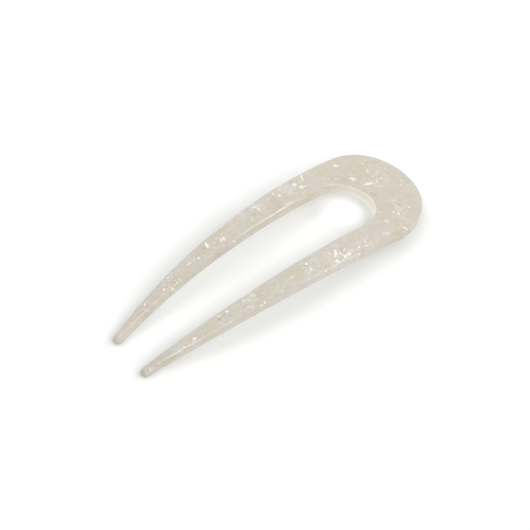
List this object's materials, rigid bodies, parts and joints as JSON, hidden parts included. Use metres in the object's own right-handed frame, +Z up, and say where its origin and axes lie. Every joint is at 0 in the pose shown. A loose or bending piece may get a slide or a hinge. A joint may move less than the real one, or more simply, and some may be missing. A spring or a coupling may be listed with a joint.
{
  "type": "one-piece acetate hair pin (French pin)",
  "caption": "One-piece U-shaped hair pin of pearl-white acetate sheet: a round bow and tapering prongs, bent lengthwise to follow the head, with polished edges and round tips.",
  "frame": {"origin": "bottom centre of the bounding box, on the surface that the pin lies on", "axes": "+X from the prong tips towards the round bow, +Y across the pin, +Z up, on the outward side of the bend"},
  "size_m": [0.1082, 0.0352, 0.0135],
  "materials": {
    "pearl_acetate": "polished ivory cellulose acetate, cloudy, with small pearly flakes inside"
  },
  "bodies": {
    "root": {"hair_pin": "pearl_acetate"}
  },
  "joints": []
}
